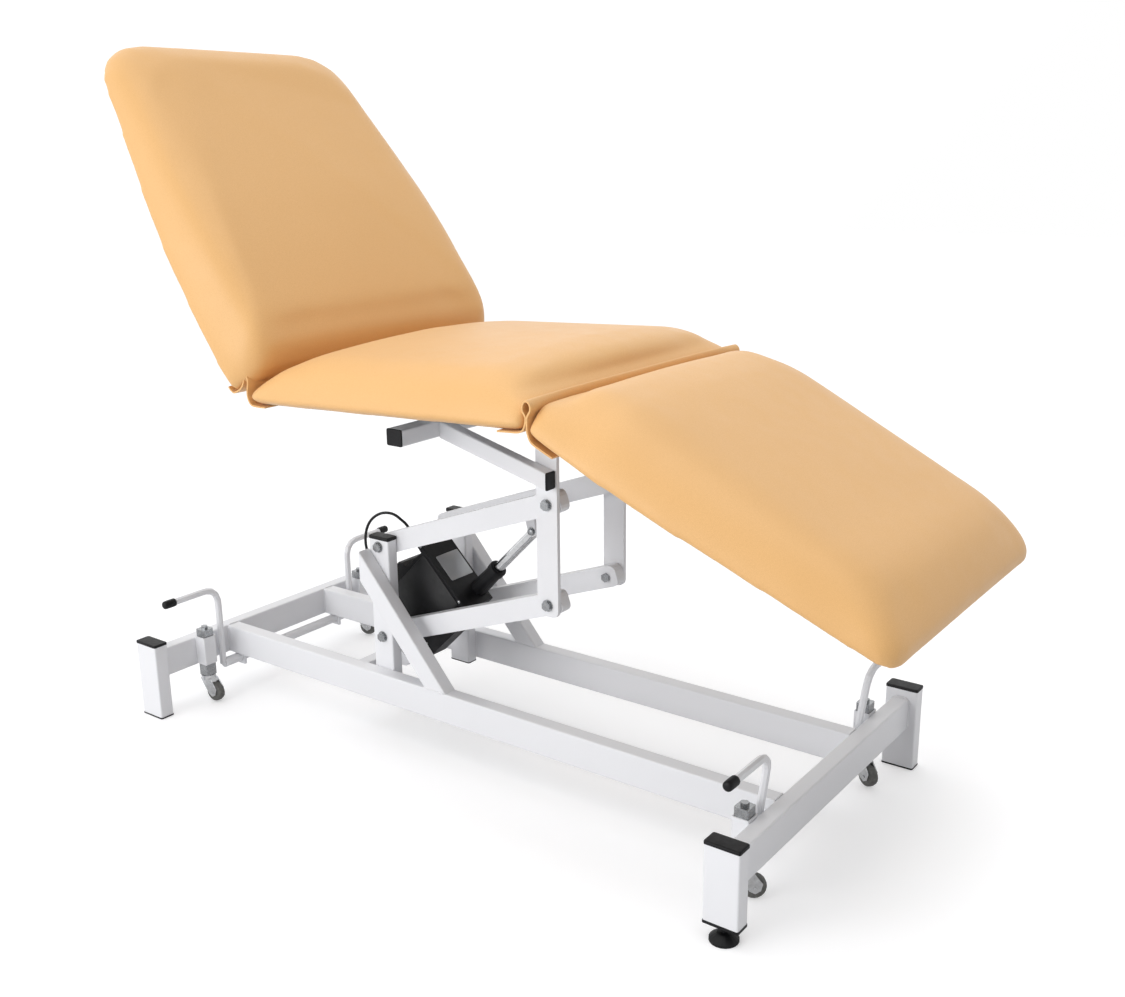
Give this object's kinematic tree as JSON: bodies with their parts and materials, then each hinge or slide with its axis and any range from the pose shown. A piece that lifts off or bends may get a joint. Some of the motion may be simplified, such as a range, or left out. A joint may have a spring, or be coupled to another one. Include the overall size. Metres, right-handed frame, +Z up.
{
  "type": "examination couch",
  "caption": "Electric examination couch with raised backrest, level seat and lowered leg section on a parallelogram lift, white tube base with lever-operated castors.",
  "frame": {"origin": "on the floor, under the middle of the couch's overall box", "axes": "+X towards the foot end, +Y across the couch, +Z up"},
  "size_m": [1.6213, 0.7096, 1.3222],
  "materials": {
    "white_paint": "semi-gloss powder coat",
    "zinc_steel": "zinc plated",
    "chrome": "polished",
    "black_plastic": "fine texture",
    "cable_black": "smooth",
    "wheel_grey": "matt",
    "upholstery": "soft grain synthetic leather",
    "lining": "matt",
    "label_silver": "satin foil",
    "plywood": "sealed"
  },
  "bodies": {
    "base": {"leg_head_l": "white_paint", "leg_head_r": "white_paint", "leg_foot_l": "white_paint", "leg_foot_r": "white_paint", "cross_rail_head": "white_paint", "cross_rail_foot": "white_paint", "long_rail_l": "white_paint", "long_rail_r": "white_paint", "lift_post_l": "white_paint", "lift_post_r": "white_paint", "post_brace_l": "white_paint", "post_brace_r": "white_paint", "actuator_mount": "white_paint", "motor_cable": "cable_black", "base_bolt_upper_l": "zinc_steel", "base_bolt_upper_r": "zinc_steel", "base_bolt_lower_l": "zinc_steel", "base_bolt_lower_r": "zinc_steel"},
    "levelling_foot": {"levelling_foot": "black_plastic"},
    "castor_lever_head": {"castor_lever_head": "white_paint"},
    "castor_post_head_l": {"castor_post_head_l": "zinc_steel"},
    "castor_fork_head_l": {"castor_fork_head_l": "chrome"},
    "castor_wheel_head_l": {"castor_wheel_head_l": "wheel_grey"},
    "castor_post_head_r": {"castor_post_head_r": "zinc_steel"},
    "castor_fork_head_r": {"castor_fork_head_r": "chrome"},
    "castor_wheel_head_r": {"castor_wheel_head_r": "wheel_grey"},
    "castor_lever_foot": {"castor_lever_foot": "white_paint"},
    "castor_post_foot_l": {"castor_post_foot_l": "zinc_steel"},
    "castor_fork_foot_l": {"castor_fork_foot_l": "chrome"},
    "castor_wheel_foot_l": {"castor_wheel_foot_l": "wheel_grey"},
    "castor_post_foot_r": {"castor_post_foot_r": "zinc_steel"},
    "castor_fork_foot_r": {"castor_fork_foot_r": "chrome"},
    "castor_wheel_foot_r": {"castor_wheel_foot_r": "wheel_grey"},
    "upper_arms": {"upper_arms": "white_paint"},
    "lower_arms": {"lower_arm_l": "white_paint", "lower_arm_r": "white_paint"},
    "platform": {"upright_l": "white_paint", "upright_r": "white_paint", "top_bolt_upper_l": "zinc_steel", "top_bolt_upper_r": "zinc_steel", "top_bolt_lower_l": "zinc_steel", "top_bolt_lower_r": "zinc_steel", "seat_strut_l": "white_paint", "seat_strut_r": "white_paint", "seat_rail_l": "white_paint", "seat_rail_r": "white_paint", "seat_cross_tube": "white_paint", "seat_board": "plywood", "seat_pad": "upholstery"},
    "actuator_housing": {"actuator_housing": "black_plastic"},
    "actuator_rod": {"actuator_rod": "chrome"},
    "backrest": {"back_hinge_l": "zinc_steel", "back_hinge_r": "zinc_steel", "back_board": "plywood", "back_pad": "upholstery"},
    "legrest": {"leg_hinge_l": "zinc_steel", "leg_hinge_r": "zinc_steel", "leg_board": "plywood", "leg_pad": "upholstery"}
  },
  "joints": [
    {"name": "levelling_foot_height", "type": "slide", "parent": "base", "child": "levelling_foot", "axis": [0, 0, -1], "range_m": [0, 0.01]},
    {"name": "castor_lever_head_turn", "type": "hinge", "parent": "base", "child": "castor_lever_head", "pos_m": [-0.71151, 0, 0.069], "axis": [0, 1, 0], "range_deg": [0, 45]},
    {"name": "castor_drop_head_l", "type": "slide", "parent": "base", "child": "castor_post_head_l", "axis": [0, 0, -1], "range_m": [0, 0.0145]},
    {"name": "castor_swivel_head_l", "type": "hinge", "parent": "castor_post_head_l", "child": "castor_fork_head_l", "pos_m": [-0.71451, -0.222, 0.05], "axis": [0, 0, 1], "continuous": true},
    {"name": "castor_roll_head_l", "type": "hinge", "parent": "castor_fork_head_l", "child": "castor_wheel_head_l", "pos_m": [-0.69658, -0.22043, 0.0215], "axis": [-0.0872, 0.9962, 0], "continuous": true},
    {"name": "castor_drop_head_r", "type": "slide", "parent": "base", "child": "castor_post_head_r", "axis": [0, 0, -1], "range_m": [0, 0.0145]},
    {"name": "castor_swivel_head_r", "type": "hinge", "parent": "castor_post_head_r", "child": "castor_fork_head_r", "pos_m": [-0.71451, 0.23, 0.05], "axis": [0, 0, 1], "continuous": true},
    {"name": "castor_roll_head_r", "type": "hinge", "parent": "castor_fork_head_r", "child": "castor_wheel_head_r", "pos_m": [-0.6976, 0.23616, 0.0215], "axis": [-0.342, 0.9397, 0], "continuous": true},
    {"name": "castor_lever_foot_turn", "type": "hinge", "parent": "base", "child": "castor_lever_foot", "pos_m": [0.55649, 0, 0.069], "axis": [0, -1, 0], "range_deg": [0, 45]},
    {"name": "castor_drop_foot_l", "type": "slide", "parent": "base", "child": "castor_post_foot_l", "axis": [0, 0, -1], "range_m": [0, 0.0145]},
    {"name": "castor_swivel_foot_l", "type": "hinge", "parent": "castor_post_foot_l", "child": "castor_fork_foot_l", "pos_m": [0.55949, -0.222, 0.05], "axis": [0, 0, 1], "continuous": true},
    {"name": "castor_roll_foot_l", "type": "hinge", "parent": "castor_fork_foot_l", "child": "castor_wheel_foot_l", "pos_m": [0.57328, -0.21043, 0.0215], "axis": [-0.6428, 0.766, 0], "continuous": true},
    {"name": "castor_drop_foot_r", "type": "slide", "parent": "base", "child": "castor_post_foot_r", "axis": [0, 0, -1], "range_m": [0, 0.0145]},
    {"name": "castor_swivel_foot_r", "type": "hinge", "parent": "castor_post_foot_r", "child": "castor_fork_foot_r", "pos_m": [0.55949, 0.23, 0.05], "axis": [0, 0, 1], "continuous": true},
    {"name": "castor_roll_foot_r", "type": "hinge", "parent": "castor_fork_foot_r", "child": "castor_wheel_foot_r", "pos_m": [0.5758, 0.22239, 0.0215], "axis": [0.4226, 0.9063, 0], "continuous": true},
    {"name": "lift_angle", "type": "hinge", "parent": "base", "child": "upper_arms", "pos_m": [-0.29351, 0, 0.389], "axis": [0, -1, 0], "range_deg": [-30, 25]},
    {"name": "lower_arm_angle", "type": "hinge", "parent": "base", "child": "lower_arms", "pos_m": [-0.29351, 0, 0.205], "axis": [0, -1, 0], "range_deg": [-30, 25]},
    {"name": "platform_level", "type": "hinge", "parent": "upper_arms", "child": "platform", "pos_m": [0.09928, 0, 0.53196], "axis": [0, -1, 0], "range_deg": [-25, 30]},
    {"name": "actuator_tilt", "type": "hinge", "parent": "base", "child": "actuator_housing", "pos_m": [-0.34051, 0, 0.109], "axis": [0, -1, 0], "range_deg": [-15.92, 13.35], "deforming": ["motor_cable"]},
    {"name": "actuator_rod_pivot", "type": "hinge", "parent": "upper_arms", "child": "actuator_rod", "pos_m": [-0.00451, 0, 0.443], "axis": [0, -1, 0], "range_deg": [-12.65, 15.08]},
    {"name": "backrest_angle", "type": "hinge", "parent": "platform", "child": "backrest", "pos_m": [-0.41517, 0, 0.67901], "axis": [0, 1, 0], "range_deg": [-55.47, 7.1]},
    {"name": "legrest_angle", "type": "hinge", "parent": "platform", "child": "legrest", "pos_m": [0.23083, 0, 0.70642], "axis": [0, -1, 0], "range_deg": [-10, 26.63]}
  ],
  "couplings": [
    {"joint": "castor_drop_head_l", "follows": "castor_lever_head_turn", "m_per_rad": 0.018335},
    {"joint": "castor_drop_head_r", "follows": "castor_lever_head_turn", "m_per_rad": 0.018335},
    {"joint": "castor_drop_foot_l", "follows": "castor_lever_foot_turn", "m_per_rad": 0.018335},
    {"joint": "castor_drop_foot_r", "follows": "castor_lever_foot_turn", "m_per_rad": 0.018335},
    {"joint": "lower_arm_angle", "follows": "lift_angle", "ratio": 1},
    {"joint": "platform_level", "follows": "lift_angle", "ratio": -1},
    {"joint": "actuator_tilt", "follows": "lift_angle", "ratio": 0.514},
    {"joint": "actuator_rod_pivot", "follows": "lift_angle", "ratio": -0.486}
  ]
}
